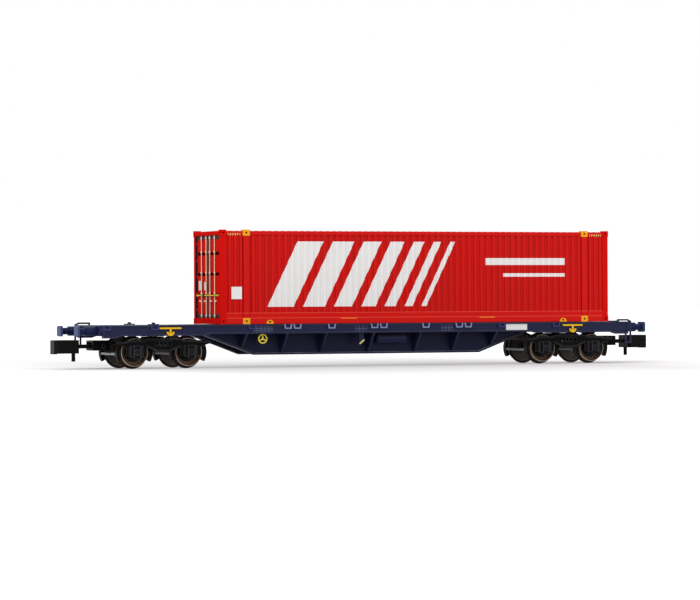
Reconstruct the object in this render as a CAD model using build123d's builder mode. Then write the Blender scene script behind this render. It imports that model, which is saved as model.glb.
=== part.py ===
# Scale model, 1:160, of a four-axle fishbelly container flatcar that carries one long box container.
# Millimetres. +X runs along the wagon, the near side is -Y, and Z is up from the bottom of the flanges.
import os
from math import cos, hypot, radians, sin

from build123d import *

os.makedirs("parts", exist_ok=True)

# Fits
running_clearance = 0.05       # radial, at every turning shaft
seat_gap = 0.06                # between plates that turn or tilt on each other

# Wagon over all: the deck is as long as the container and what stays free beyond its two ends
deck_beyond_doors = 25.05      # from the container's door end to the headstock's face
deck_beyond_front = 5.05
buffer_length = 4.1
bogie_overhang = 13.525        # from a headstock's face to the bogie's pivot
headstock_thick = 0.6
headstock_chamfer = 0.9
headstock_bottom = 6.5
deck_top = 8.6
deck_plate = 0.3

# Side sills, outward channels that are deeper over the bogies and at the noses
sill_outer = 8.1               # half the width over the sills
sill_thick = 1.0
sill_recess = 0.25
sill_lip = 0.28
sill_bottom = 6.75
sill_bottom_bogie = 6.45
sill_bottom_nose = 6.05
sill_bogie_reach = 8.375       # of the deeper part, inwards from the bogie's pivot
sill_nose_length = 3.3
sill_ramp = 1.2

# Fishbelly girders, set inwards from the sills
girder_y = 4.2                 # middle of the web
girder_web = 0.4
girder_flange = 1.4
girder_flange_thick = 0.35
girder_from_pivot = 7.675      # from the bogie's pivot to the girder's end
girder_end_bottom = 7.0
belly_bottom = 2.5
belly_ramp = 12.1              # length of the sloping stretch at each end

# Outriggers and cross members, one set at each rib
rib_beyond_belly = 2.7         # of the outer ribs, past the corner of the belly
rib_shares = (0, 0.377, 0.685, 1)         # places, as parts of the outer rib's
rib_thick = 0.45
rib_margin = 0.1               # from the sill's face to the rib's outer edge
cross_member_bottom = 5.0

# Bolster over each bogie
bolster_half = 1.9
boss_radius = 2.3
boss_bottom = 6.3
deck_plate_start = 2.9         # past the girder's end

# Pivot pin
pin_radius = 0.9
pin_head_radius = 1.6
pin_head_thick = 0.5

# Buffers
buffer_y = 5.47
buffer_z = 7.44
buffer_head_width = 2.81
buffer_head_height = 2.12
buffer_head_thick = 0.4
buffer_head_corner = 0.35
buffer_base = 1.9
buffer_base_thick = 0.3
buffer_sleeve_radius = 0.95
buffer_sleeve_length = 2.2
buffer_plunger_radius = 0.68

# Folding spigot brackets along the sills, cups that are open at the top, and container pads on the deck
bracket_width = 1.7
bracket_height = 0.95
bracket_wall = 0.24
bracket_taper = 0.14           # of each side, towards the foot
bracket_proud = 0.16
bracket_spacing = 2.0
bracket_from_rib = 1.0         # along X
bracket_from_pivots = (-2.325, -3.775)    # along X, left and right
bracket_from_end = 1.4         # at the left end
pad_length = 2.0
pad_width = 1.0
pad_thick = 0.04
free_pad_thick = 0.22
front_pad_gap = 0.45           # from the container's front end
spigot_radius = 0.35
spigot_height = 0.3
spigot_clearance = 0.1

# Rope hooks, hand wheels, levers, tank, steps and handrails
hook_from_pivots = (0.9, 0.0)   # along X, left and right
hook_bar_length = 4.5
hook_bar_height = 0.32
hook_bar_z = 7.95
hook_proud = 0.18
hook_radius = 0.8
hook_wire = 0.38
hook_drop = 0.7
handwheel_from_rib = 3.5
handwheel_below_sill = 0.08
handwheel_y = 7.3              # plane of the rim
handwheel_radius = 0.85
handwheel_wire = 0.11
handwheel_shaft = 0.22
handwheel_hub = 0.25
handwheel_spokes = 3
lever_x = 2.5
lever_plate = 1.0
lever_plate_thick = 0.22
lever_drop = 1.8
lever_length = 1.3
lever_wire = 0.26
lever_angle = 40.0
tank_start = 1.3               # past the middle rib
tank_end = 2.3                 # short of the next rib
tank_radius = 0.95
tank_chamfer = 0.35
tank_z = 5.55
tank_gap = 0.25                # from the girder's web
tank_strap = 0.5
step_width = 1.1
step_strap = 0.36
step_thick = 0.22
step_bottom = 4.3
step_tread = 0.6
rail_reach = 3.1               # along the deck, from the headstock's face
rail_bend = 0.9                # from the headstock's face, over the deck
rail_rise = 0.35               # above the deck

# Bogies
wheelbase = 11.25
axle_z = 3.25
side_frame_inner = 6.0
side_frame_thick = 0.6
side_frame_top = 5.95
side_frame_shoulder = 5.6
side_frame_end_top = 5.35
side_frame_end_x = 9.7
side_frame_lip = 0.3
side_frame_lip_thick = 0.28
side_frame_belly = 3.35
side_frame_belly_half = 1.2
pedestal_half = 1.5            # from the axle to the inside of the horn guides
pedestal_leg = 0.6
pedestal_bottom = 2.55
pedestal_top = 4.3
window_count = 4
window_width = 0.62
window_pitch = 0.92
window_bottom = 4.5
window_top = 5.35
chord_thick = 0.3              # of the raised lower chord under the windows
chord_proud = 0.2
bogie_bolster_half = 2.0
bogie_bolster_bottom = 4.75
end_beam_inner = 8.95
end_beam_outer = 9.55
end_beam_bottom = 4.9
end_beam_top = 5.5
axlebox_half = 0.8
axlebox_outer = 7.2
axlebox_bottom = 1.95
axlebox_top = 4.6              # reaches into the side frame
axlebox_corner = 0.3
axlebox_cover_radius = 0.6
axlebox_cover_thick = 0.15
axlebox_rib = 0.16             # upright ribs beside the cover
axlebox_rib_top = 4.4
spring_radius = 0.33
spring_sides = 6
spring_coils = 3
spring_coil_share = 0.55       # of a coil's pitch that stands at full width
spring_core = 0.24
spring_seat = 0.22
spring_seat_gap = 0.12         # from the seat to the horn guides
spring_socket = 0.2            # of the springs' heads, into the side frame

# Wheelsets
flange_radius = 3.25
tread_radius = 2.82
tread_taper = 0.08
wheel_back = 3.7               # from the middle to the back of a wheel
wheel_width = 1.9
flange_width = 0.6
rim_depth = 0.5
rim_dish = 0.45
wheel_web = 0.45
hub_radius = 1.05
hub_proud = 0.1
axle_radius = 0.6
journal_radius = 0.42
journal_shoulder = 5.8
journal_end = 6.4
axle_tip = 6.85

# Brake gear
shoe_clearance = 0.25
shoe_thick = 0.7
shoe_width = 1.1
shoe_low_angle = -29.0          # of the shoe's ends, from the level of the axle
shoe_high_angle = 20.0
shoe_y = 4.95
brake_beam_radius = 0.26
brake_beam_sides = 8
brake_beam_z = 2.95
hanger_width = 0.4

# Couplers and their pockets
pocket_half = 2.0
pocket_wall = 0.45
pocket_bottom = 3.62
pocket_top = 5.62
pocket_end = 13.1              # from the bogie's pivot
pocket_floor = 0.36
coupler_pivot_x = 10.75        # from the bogie's pivot
coupler_trunnion_radius = 0.38
shank_half = 0.85
shank_bottom = 4.05
shank_top = 4.85
coupler_rear = 15.9            # from the bogie's pivot
coupler_front = 21.0
coupler_half = 2.6
coupler_bottom = 3.1
coupler_top = 5.72
coupler_wall = 0.85
coupler_nose = 1.0
coupler_rear_chamfer = 0.5
coupler_lip = 0.12             # below the head, across its front
coupler_pin_radius = 0.38
coupler_pin_bottom = 1.5
coupler_pin_x = 16.4

# Container
box_length = 85.7
box_width = 15.6
box_height = 18.7
lift_inset = 4.75              # from the container's ends to the lifting castings
casting_length = 1.5
casting_width = 1.0
casting_height = 1.2
casting_hole = 0.2
casting_hole_sides = 8
casting_hole_depth = 0.35
casting_proud = 0.08           # of the corner castings, past their posts
post_width = 1.3
bottom_rail_height = 1.2
kick_band_height = 1.0         # of the flat band between the bottom rail and the corrugation
top_rail_height = 1.0
face_step = 0.06               # from castings back to rails, to the kick band and to the corrugation
wall_thick = 0.9
corrugation_pitch = 1.38
corrugation_depth = 0.18
corrugation_shape = ((0, 1), (0.3, 1), (0.42, 0), (0.88, 0))     # place in the pitch, part of the depth
roof_drop = 0.22               # of the roof, below the castings' tops
roof_thick = 0.4
roof_rib = 0.12
floor_thick = 0.8
floor_raise = 0.04             # of the floor's underside, above the castings' feet
lashing_from_casting = 4.95    # from a lifting casting to the lashing plate beside it
lashing_radius = 0.78
lashing_thick = 0.1
lashing_hole = 0.22
door_thick = 0.55
door_recess = 0.45             # of the leaves, behind the castings' faces
door_gap = 0.12
door_band_height = 0.6
door_band_depth = 0.25
door_bands = (0.28, 0.53, 0.78)           # heights, as parts of a leaf
hinge_width = 0.6
hinge_height = 0.32
hinge_thick = 0.16
hinge_count = 5
lock_bar_radius = 0.14
lock_bar_sides = 8
lock_bar_y = (1.05, 3.75)      # from the middle of the doors
lock_keeper = 0.6
lock_keeper_height = 0.34
lock_keepers = (0.03, 0.3, 0.55, 0.8, 0.97)        # heights, as parts of a leaf
lock_handle_length = 1.1
lock_handle_z = 4.6            # above the container's feet

# Worked out from the sizes above
box_bottom = deck_top + pad_thick
box_top = box_bottom + box_height
box_half = box_length / 2
box_side = box_width / 2
box_x = (deck_beyond_doors - deck_beyond_front) / 2
lift_post_x = box_half - lift_inset - casting_length / 2
headstock_face = (box_length + deck_beyond_doors + deck_beyond_front) / 2
buffer_front = headstock_face + buffer_length
pivot_x = headstock_face - bogie_overhang
girder_end_x = pivot_x - girder_from_pivot
belly_corner_x = girder_end_x - belly_ramp
sill_nose_x = headstock_face - sill_nose_length
sill_bogie_x = pivot_x - sill_bogie_reach
rib_x = [share * (belly_corner_x + rib_beyond_belly) for share in rib_shares]
sill_end = headstock_face - headstock_thick
sill_inner = sill_outer - sill_thick
web_outer = girder_y + girder_web / 2
web_inner = girder_y - girder_web / 2
flange_outer = girder_y + girder_flange / 2
flange_inner = girder_y - girder_flange / 2
flange_underside = deck_top - girder_flange_thick
ribs = sorted({-x for x in rib_x} | set(rib_x))
axle_x = wheelbase / 2
bogie_top = boss_bottom - seat_gap
handwheel_x = rib_x[-1] - handwheel_from_rib
handwheel_z = sill_bottom - handwheel_below_sill - handwheel_radius - handwheel_wire
pad_y = box_side - casting_width / 2
near_and_far = (("near", -1), ("far", 1))
left_and_right = (("left", -1), ("right", 1))


def both_sides(points):
    return list(points) + [(-x, z) for x, z in reversed(points) if x != 0]


def belly_inside_at(x):
    slope = (girder_end_bottom - belly_bottom) / (girder_end_x - belly_corner_x)
    rise = max(0, abs(x) + rib_thick / 2 - belly_corner_x) * slope
    return belly_bottom + rise + girder_flange_thick * hypot(1, slope)


def block(low, high, mode=Mode.ADD):
    size = [b - a for a, b in zip(low, high)]
    middle = tuple((a + b) / 2 for a, b in zip(low, high))
    with Locations(middle):
        Box(*size, mode=mode)


def save(part, name):
    part.label = name
    export_step(part, f"parts/{name}.step")


def at_ends(part, name):
    for end, sign in left_and_right:
        with BuildPart() as placed:
            with Locations(Location((sign * pivot_x, 0, 0), (0, 0, 0 if sign > 0 else 180))):
                add(part)
        save(placed.part, f"{name}_{end}")


# Side sills
sill_half_outline = [
    (0, deck_top), (sill_end, deck_top), (sill_end, sill_bottom_nose), (sill_nose_x, sill_bottom_nose),
    (sill_nose_x - sill_ramp, sill_bottom_bogie), (sill_bogie_x, sill_bottom_bogie),
    (sill_bogie_x - sill_ramp, sill_bottom), (0, sill_bottom)]
with BuildPart() as side_sill_near:
    with BuildSketch(Plane.XZ.offset(sill_inner)):
        Polygon(*both_sides(sill_half_outline), align=None)
    extrude(amount=sill_thick)
    with BuildSketch(Plane.XZ.offset(sill_outer - sill_recess)):
        Polygon(*both_sides(sill_half_outline), align=None)
        offset(amount=-sill_lip, kind=Kind.INTERSECTION)
    extrude(amount=sill_recess, mode=Mode.SUBTRACT)
save(side_sill_near.part, "side_sill_near")
with BuildPart() as side_sill_far:
    mirror(side_sill_near.part, about=Plane.XZ)
save(side_sill_far.part, "side_sill_far")

# Fishbelly girders
girder_half_outline = [
    (0, deck_top), (girder_end_x, deck_top), (girder_end_x, girder_end_bottom),
    (belly_corner_x, belly_bottom), (0, belly_bottom)]
with BuildPart() as girder_near:
    with BuildSketch(Plane.XZ.offset(flange_inner)):
        Polygon(*both_sides(girder_half_outline), align=None)
    extrude(amount=girder_flange)
    for recess_start in (flange_inner, web_outer):
        with BuildSketch(Plane.XZ.offset(recess_start)):
            Polygon(*both_sides(girder_half_outline), align=None)
            offset(amount=-girder_flange_thick, kind=Kind.INTERSECTION)
        extrude(amount=(girder_flange - girder_web) / 2, mode=Mode.SUBTRACT)
save(girder_near.part, "girder_near")
with BuildPart() as girder_far:
    mirror(girder_near.part, about=Plane.XZ)
save(girder_far.part, "girder_far")

# Outriggers, the tapered gussets from the girders out to the sills
for side, sign in near_and_far:
    with BuildPart() as outriggers:
        for x in ribs:
            with BuildSketch(Plane.YZ.offset(x - rib_thick / 2)):
                foot = belly_inside_at(x)
                outline = [
                    (web_outer, foot), (flange_outer, foot),
                    (sill_outer - rib_margin, sill_bottom), (sill_inner, sill_bottom),
                    (sill_inner, flange_underside), (web_outer, flange_underside)]
                Polygon(*[(sign * y, z) for y, z in outline], align=None)
        extrude(amount=rib_thick)
    save(outriggers.part, f"outriggers_{side}")

# Cross members between the girders
with BuildPart() as cross_members:
    for x in ribs:
        with BuildSketch(Plane.YZ.offset(x - rib_thick / 2)):
            with Locations((0, (cross_member_bottom + flange_underside) / 2)):
                Rectangle(2 * web_inner, flange_underside - cross_member_bottom)
    extrude(amount=rib_thick)
save(cross_members.part, "cross_members")

# End frames over the bogies: two beams, a deck plate, a bolster and the pivot boss
with BuildPart() as end_frame_right:
    block((girder_end_x + deck_plate_start, -sill_inner, deck_top - deck_plate),
          (sill_end, sill_inner, deck_top))
    for sign in (-1, 1):
        with BuildSketch(Plane.YZ.offset(girder_end_x)):
            with Locations((sign * girder_y, (girder_end_bottom + deck_top) / 2)):
                Rectangle(girder_flange, deck_top - girder_end_bottom)
        extrude(amount=sill_end - girder_end_x)
    block((pivot_x - bolster_half, -sill_inner, girder_end_bottom),
          (pivot_x + bolster_half, sill_inner, deck_top))
    with BuildSketch(Plane.XY.offset(boss_bottom)):
        with Locations((pivot_x, 0)):
            Circle(boss_radius)
    extrude(amount=girder_end_bottom - boss_bottom)
    with BuildSketch(Plane.XY.offset(boss_bottom)):
        with Locations((pivot_x, 0)):
            Circle(pin_radius)
    extrude(amount=deck_top - deck_plate - boss_bottom, mode=Mode.SUBTRACT)
save(end_frame_right.part, "end_frame_right")
with BuildPart() as end_frame_left:
    mirror(end_frame_right.part, about=Plane.YZ)
save(end_frame_left.part, "end_frame_left")

# Pivot pins, pressed into the bosses, with a head under the bogie
with BuildPart() as pivot_pin:
    with BuildSketch(Plane.XY.offset(bogie_bolster_bottom - seat_gap - pin_head_thick)):
        Circle(pin_head_radius)
    extrude(amount=pin_head_thick)
    with BuildSketch(Plane.XY.offset(bogie_bolster_bottom - seat_gap)):
        Circle(pin_radius)
    extrude(amount=deck_top - deck_plate - bogie_bolster_bottom + seat_gap)
at_ends(pivot_pin.part, "pivot_pin")

# Headstocks
with BuildPart() as headstock_right:
    with BuildSketch(Plane.YZ.offset(sill_end)):
        Polygon(*both_sides([
            (0, deck_top), (sill_outer, deck_top), (sill_outer, headstock_bottom + headstock_chamfer),
            (sill_outer - headstock_chamfer, headstock_bottom), (0, headstock_bottom)]), align=None)
    extrude(amount=headstock_thick)
save(headstock_right.part, "headstock_right")
with BuildPart() as headstock_left:
    mirror(headstock_right.part, about=Plane.YZ)
save(headstock_left.part, "headstock_left")

# Buffers: base plate, sleeve, plunger and a rounded rectangular head
with BuildPart() as buffers_right:
    with BuildSketch(Plane.YZ.offset(headstock_face)):
        with Locations((-buffer_y, buffer_z), (buffer_y, buffer_z)):
            Rectangle(buffer_base, buffer_base)
    extrude(amount=buffer_base_thick)
    with BuildSketch(Plane.YZ.offset(headstock_face + buffer_base_thick)):
        with Locations((-buffer_y, buffer_z), (buffer_y, buffer_z)):
            Circle(buffer_sleeve_radius)
    extrude(amount=buffer_sleeve_length - buffer_base_thick)
    with BuildSketch(Plane.YZ.offset(headstock_face + buffer_sleeve_length)):
        with Locations((-buffer_y, buffer_z), (buffer_y, buffer_z)):
            Circle(buffer_plunger_radius)
    extrude(amount=buffer_front - buffer_head_thick - headstock_face - buffer_sleeve_length)
    with BuildSketch(Plane.YZ.offset(buffer_front - buffer_head_thick)):
        with Locations((-buffer_y, buffer_z), (buffer_y, buffer_z)):
            RectangleRounded(buffer_head_width, buffer_head_height, buffer_head_corner)
    extrude(amount=buffer_head_thick)
    chamfer(buffers_right.faces().group_by(Axis.X)[-1].edges(), buffer_head_thick / 3)
save(buffers_right.part, "buffers_right")
with BuildPart() as buffers_left:
    mirror(buffers_right.part, about=Plane.YZ)
save(buffers_left.part, "buffers_left")

# Folding spigot brackets: single and double ones by turns along the ribs, and single ones over the bogies
bracket_places = []            # along X
for index, x in enumerate(ribs):
    offsets = (0,) if index % 2 == 0 else (-bracket_spacing / 2, bracket_spacing / 2)
    bracket_places += [x + bracket_from_rib + shift for shift in offsets]
free_pad_x = -pivot_x + bracket_from_pivots[0]
bracket_places += [free_pad_x, pivot_x + bracket_from_pivots[1], -headstock_face + bracket_from_end]
top_half = bracket_width / 2
foot_half = top_half - bracket_taper
bracket_foot = deck_top - bracket_height
bracket_half = [
    (top_half - bracket_wall, deck_top), (top_half, deck_top), (foot_half, bracket_foot), (0, bracket_foot),
    (0, bracket_foot + bracket_wall), (foot_half - bracket_wall, bracket_foot + bracket_wall)]
for side, sign in near_and_far:
    with BuildPart() as folding_spigots:
        for x in bracket_places:
            with BuildSketch(Plane.XZ.offset(sill_outer)):
                for mirrored in (-1, 1):
                    Polygon(*[(x + mirrored * px, pz) for px, pz in bracket_half], align=None)
        extrude(amount=bracket_proud)
    with BuildPart() as placed:
        add(folding_spigots.part) if sign < 0 else mirror(folding_spigots.part, about=Plane.XZ)
    save(placed.part, f"folding_spigots_{side}")

# Container pads: four with spigots under the lifting castings, a free pair with spigots on the long end
# of the deck, and a flat pair beyond the container's front
pads = [                       # along X, thickness, spigot
    (box_x - lift_post_x, pad_thick, True), (box_x + lift_post_x, pad_thick, True),
    (free_pad_x, free_pad_thick, True),
    (box_x + box_half + front_pad_gap + pad_length / 2, free_pad_thick, False)]
with BuildPart() as deck_spigots:
    for x, thick, has_spigot in pads:
        for sign in (-1, 1):
            with BuildSketch(Plane.XY.offset(deck_top)):
                with Locations((x, sign * pad_y)):
                    Rectangle(pad_length, pad_width)
            extrude(amount=thick)
            if has_spigot:
                with BuildSketch(Plane.XY.offset(deck_top + thick)):
                    with Locations((x, sign * pad_y)):
                        Circle(spigot_radius)
                extrude(amount=spigot_height)
save(deck_spigots.part, "deck_spigots")

# Rope hooks: a bar on the sill's face with an anchor-shaped double hook
for side, sign in near_and_far:
    with BuildPart() as rope_hooks:
        for x in (-pivot_x + hook_from_pivots[0], pivot_x + hook_from_pivots[1]):
            with BuildSketch(Plane.XZ.offset(sill_outer - sill_recess)):
                with Locations((x, hook_bar_z)):
                    SlotOverall(hook_bar_length, hook_bar_height)
            extrude(amount=sill_recess + hook_proud)
            with BuildSketch(Plane.XZ.offset(sill_outer)):
                with Locations((x, hook_bar_z - hook_drop / 2)):
                    Rectangle(hook_wire, hook_drop)
                with BuildLine():
                    low = hook_bar_z - hook_drop
                    ThreePointArc((x - hook_radius, low), (x, low - hook_radius), (x + hook_radius, low))
                    Line((x + hook_radius, low), (x + hook_radius - hook_wire, low))
                    ThreePointArc((x + hook_radius - hook_wire, low), (x, low - hook_radius + hook_wire),
                                  (x - hook_radius + hook_wire, low))
                    Line((x - hook_radius + hook_wire, low), (x - hook_radius, low))
                make_face()
                with Locations((x, low - hook_radius / 2)):
                    Rectangle(hook_wire, hook_radius)
            extrude(amount=hook_proud)
    with BuildPart() as placed:
        add(rope_hooks.part) if sign < 0 else mirror(rope_hooks.part, about=Plane.XZ)
    save(placed.part, f"rope_hooks_{side}")

# Hand wheels of the parking brake, on a shaft from the girder, one on each side
for side, sign in near_and_far:
    with BuildPart() as hand_wheel:
        with BuildSketch(Plane.XZ.offset(web_outer)):
            Circle(handwheel_shaft)
        extrude(amount=handwheel_y - web_outer)
        with BuildSketch(Plane.XZ.offset(handwheel_y - handwheel_wire)):
            Circle(handwheel_radius + handwheel_wire)
            Circle(handwheel_radius - handwheel_wire, mode=Mode.SUBTRACT)
            Circle(handwheel_hub)
            with PolarLocations(handwheel_radius / 2, handwheel_spokes, start_angle=90):
                Rectangle(handwheel_radius, 2 * handwheel_wire)
        extrude(amount=2 * handwheel_wire)
    with BuildPart() as placed:
        with Locations(Location((sign * handwheel_x, 0, handwheel_z), (0, 0, 0 if sign < 0 else 180))):
            add(hand_wheel.part)
    save(placed.part, f"hand_wheel_{side}")

# Brake changeover levers on a plate under the sills
for side, sign in near_and_far:
    with BuildPart() as lever:
        with BuildSketch(Plane.XZ.offset(sill_inner)):
            with Locations((0, sill_bottom - lever_drop / 2)):
                Rectangle(lever_plate, lever_drop)
        extrude(amount=lever_plate_thick)
        with BuildSketch(Plane.XZ.offset(sill_inner + lever_plate_thick)):
            with Locations(Location((0, sill_bottom - lever_drop), lever_angle)):
                SlotOverall(lever_length, lever_wire)
        extrude(amount=lever_wire)
    with BuildPart() as placed:
        with Locations(Location((sign * lever_x, 0, 0), (0, 0, 0 if sign < 0 else 180))):
            add(lever.part)
    save(placed.part, f"changeover_lever_{side}")

# Air tank, strapped to the near girder
with BuildPart() as air_tank:
    tank_y = web_outer + tank_gap + tank_radius
    tank_length = rib_x[1] - tank_start - tank_end
    with BuildSketch(Plane.YZ.offset(tank_start)):
        with Locations((-tank_y, tank_z)):
            Circle(tank_radius)
    extrude(amount=tank_length)
    chamfer(air_tank.edges().filter_by(GeomType.CIRCLE), tank_chamfer)
    for x in (tank_start + tank_length / 4, tank_start + tank_length * 3 / 4):
        block((x - tank_strap / 2, -tank_y, tank_z - tank_strap),
              (x + tank_strap / 2, -web_outer, tank_z + tank_strap))
save(air_tank.part, "air_tank")

# Corner steps at two opposite corners: a strap that is a handrail over the deck and a stirrup below the sill
with BuildPart() as corner_step:
    strap_x = headstock_face - step_strap / 2
    inner_x = strap_x - step_width
    foot_x = headstock_face - rail_reach
    rail_top_z = deck_top + rail_rise
    with BuildSketch(Plane.XZ.offset(sill_outer)):
        with BuildLine():
            Polyline((foot_x, deck_top - sill_lip), (foot_x, rail_top_z),
                     (headstock_face - rail_bend, rail_top_z), (strap_x, deck_top), (strap_x, step_bottom),
                     (inner_x, step_bottom), (inner_x, sill_bottom_nose + sill_lip))
        trace(line_width=step_strap)
    extrude(amount=step_thick)
    block((inner_x, -sill_outer, step_bottom - step_strap / 2),
          (strap_x, -sill_outer + step_tread, step_bottom))
with BuildPart() as corner_steps:
    add(corner_step.part)
    with Locations(Location((0, 0, 0), (0, 0, 180))):
        add(corner_step.part)
save(corner_steps.part, "corner_steps")

# Bogie frames: windowed side frames with horn guides, axleboxes and springs, a bolster and end beams
pedestal_inner = axle_x - pedestal_half
pedestal_outer = axle_x + pedestal_half
side_frame_half_outline = [
    (0, side_frame_top), (pedestal_inner - pedestal_leg, side_frame_top),
    (pedestal_inner, side_frame_shoulder), (pedestal_outer, side_frame_shoulder),
    (pedestal_outer + pedestal_leg, side_frame_end_top),
    (side_frame_end_x, side_frame_end_top), (side_frame_end_x, end_beam_bottom),
    (pedestal_outer + pedestal_leg, pedestal_top), (pedestal_outer + pedestal_leg, pedestal_bottom),
    (pedestal_outer, pedestal_bottom), (pedestal_outer, pedestal_top), (pedestal_inner, pedestal_top),
    (pedestal_inner, pedestal_bottom), (pedestal_inner - pedestal_leg, pedestal_bottom),
    (pedestal_inner - pedestal_leg, pedestal_top), (side_frame_belly_half, side_frame_belly),
    (0, side_frame_belly)]
side_frame_outer = side_frame_inner + side_frame_thick
with BuildPart() as side_frame:
    with BuildSketch(Plane.XZ.offset(side_frame_inner)):
        Polygon(*both_sides(side_frame_half_outline), align=None)
        with Locations((0, (window_bottom + window_top) / 2)):
            with GridLocations(window_pitch, 1, window_count, 1):
                Rectangle(window_width, window_top - window_bottom, mode=Mode.SUBTRACT)
    extrude(amount=side_frame_thick)
    with BuildSketch(Plane.XZ.offset(side_frame_outer)):
        top_edge = side_frame_half_outline[:6]
        lip_edge = [(x, z - side_frame_lip_thick) for x, z in reversed(top_edge)]
        Polygon(*both_sides(top_edge + lip_edge), align=None)
    extrude(amount=side_frame_lip)
    with BuildSketch(Plane.XZ.offset(side_frame_outer)):
        low_edge = side_frame_half_outline[-3:]
        Polygon(*both_sides([(x, z + chord_thick) for x, z in reversed(low_edge)] + low_edge), align=None)
    extrude(amount=chord_proud)
    for sign in (-1, 1):
        rib_low = axlebox_bottom + axlebox_corner
        with BuildSketch(Plane.XZ.offset(side_frame_inner)):
            axlebox_outline = both_sides([
                (0, axlebox_top), (axlebox_half, axlebox_top), (axlebox_half, rib_low),
                (axlebox_half - axlebox_corner, axlebox_bottom), (0, axlebox_bottom)])
            Polygon(*[(sign * axle_x + x, z) for x, z in axlebox_outline], align=None)
        extrude(amount=axlebox_outer - side_frame_inner)
        with BuildSketch(Plane.XZ.offset(axlebox_outer)):
            with Locations((sign * axle_x, axle_z)):
                Circle(axlebox_cover_radius)
            with Locations((sign * axle_x, (rib_low + axlebox_rib_top) / 2)):
                with GridLocations(2 * axlebox_half - axlebox_rib, 1, 2, 1):
                    Rectangle(axlebox_rib, axlebox_rib_top - rib_low)
        extrude(amount=axlebox_cover_thick)
        with BuildSketch(Plane.XZ.offset(side_frame_inner)):
            with Locations((sign * axle_x, pedestal_bottom - spring_seat / 2)):
                Rectangle(2 * (pedestal_half - spring_seat_gap), spring_seat)
        extrude(amount=side_frame_thick + spring_radius)
        spring_x = (axlebox_half + pedestal_half) / 2
        spring_places = [(sign * axle_x + shift, -side_frame_outer) for shift in (-spring_x, spring_x)]
        with BuildSketch(Plane.XY.offset(pedestal_bottom - spring_seat)):
            with Locations(*spring_places):
                RegularPolygon(spring_core, spring_sides)
        extrude(amount=pedestal_top + spring_socket - pedestal_bottom + spring_seat)
        coil_pitch = (pedestal_top - pedestal_bottom) / spring_coils
        for coil in range(spring_coils):
            with BuildSketch(Plane.XY.offset(pedestal_bottom + (coil + 1 - spring_coil_share) * coil_pitch)):
                with Locations(*spring_places):
                    RegularPolygon(spring_radius, spring_sides)
            extrude(amount=spring_coil_share * coil_pitch)
with BuildPart() as bogie_frame:
    add(side_frame.part)
    mirror(side_frame.part, about=Plane.XZ)
    block((-bogie_bolster_half, -side_frame_inner, bogie_bolster_bottom),
          (bogie_bolster_half, side_frame_inner, side_frame_top))
    with BuildSketch(Plane.XY.offset(side_frame_top)):
        Circle(boss_radius)
    extrude(amount=bogie_top - side_frame_top)
    for sign in (-1, 1):
        middle = sign * (end_beam_inner + end_beam_outer) / 2
        half = (end_beam_outer - end_beam_inner) / 2
        block((middle - half, -side_frame_inner, end_beam_bottom),
              (middle + half, side_frame_inner, end_beam_top))
    with BuildSketch(Plane.XY.offset(bogie_bolster_bottom)):
        Circle(pin_radius + running_clearance)
    extrude(amount=bogie_top - bogie_bolster_bottom, mode=Mode.SUBTRACT)
    bearing_depth = axle_tip + seat_gap - side_frame_inner
    for side_sign in (-1, 1):
        with BuildSketch(Plane.XZ.offset(-side_sign * side_frame_inner)):
            with Locations((-axle_x, axle_z), (axle_x, axle_z)):
                Circle(journal_radius + running_clearance)
        extrude(amount=-side_sign * bearing_depth, mode=Mode.SUBTRACT)
at_ends(bogie_frame.part, "bogie_frame")

# Brake gear: a beam with two shoes at each side of each axle, hung from the bolster or an end beam
with BuildPart() as brake_gear:
    for axle_sign in (-1, 1):
        for shoe_sign in (-1, 1):
            face = tread_radius + shoe_clearance
            outer = face + shoe_thick
            corners = [(radius * cos(radians(angle)), radius * sin(radians(angle)))
                       for radius, angle in ((face, shoe_low_angle), (outer, shoe_low_angle),
                                             (outer, 0), (outer, shoe_high_angle),
                                             (face, shoe_high_angle), (face, 0))]
            corners = [(axle_sign * axle_x + shoe_sign * x, axle_z + z) for x, z in corners]
            beam_x = axle_sign * axle_x + shoe_sign * (face + shoe_thick / 2)
            inward = shoe_sign != axle_sign
            hanger_top = bogie_bolster_bottom if inward else end_beam_bottom
            hanger_x = axle_sign * (bogie_bolster_half - hanger_width / 2) if inward else beam_x
            for y_sign in (-1, 1):
                with BuildSketch(Plane.XZ.offset(-y_sign * shoe_y - shoe_width / 2)):
                    with BuildLine():
                        Line(corners[0], corners[1])
                        ThreePointArc(corners[1], corners[2], corners[3])
                        Line(corners[3], corners[4])
                        ThreePointArc(corners[4], corners[5], corners[0])
                    make_face()
                extrude(amount=shoe_width)
                with BuildSketch(Plane.XZ.offset(-y_sign * shoe_y - hanger_width / 2)):
                    with Locations((hanger_x, (axle_z + hanger_top) / 2)):
                        Rectangle(hanger_width, hanger_top - axle_z)
                extrude(amount=hanger_width)
            with BuildSketch(Plane.XZ.offset(-shoe_y)):
                with Locations((beam_x, brake_beam_z)):
                    RegularPolygon(brake_beam_radius, brake_beam_sides)
            extrude(amount=2 * shoe_y)
at_ends(brake_gear.part, "brake_gear")

# Coupler pockets, boxes on the bogies' outer end beams with round seats for the trunnions
with BuildPart() as coupler_pocket:
    block((end_beam_outer, -pocket_half, pocket_bottom), (pocket_end, pocket_half, pocket_top))
    block((end_beam_outer + pocket_wall, -pocket_half + pocket_wall, pocket_bottom + pocket_floor),
          (pocket_end, pocket_half - pocket_wall, pocket_top - pocket_floor), mode=Mode.SUBTRACT)
    trunnion_z = (shank_bottom + shank_top) / 2
    with BuildSketch(Plane.XZ.offset(-pocket_half)):
        with Locations((coupler_pivot_x, trunnion_z)):
            Circle(coupler_trunnion_radius + running_clearance)
    extrude(amount=2 * pocket_half, mode=Mode.SUBTRACT)
at_ends(coupler_pocket.part, "coupler_pocket")

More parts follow.
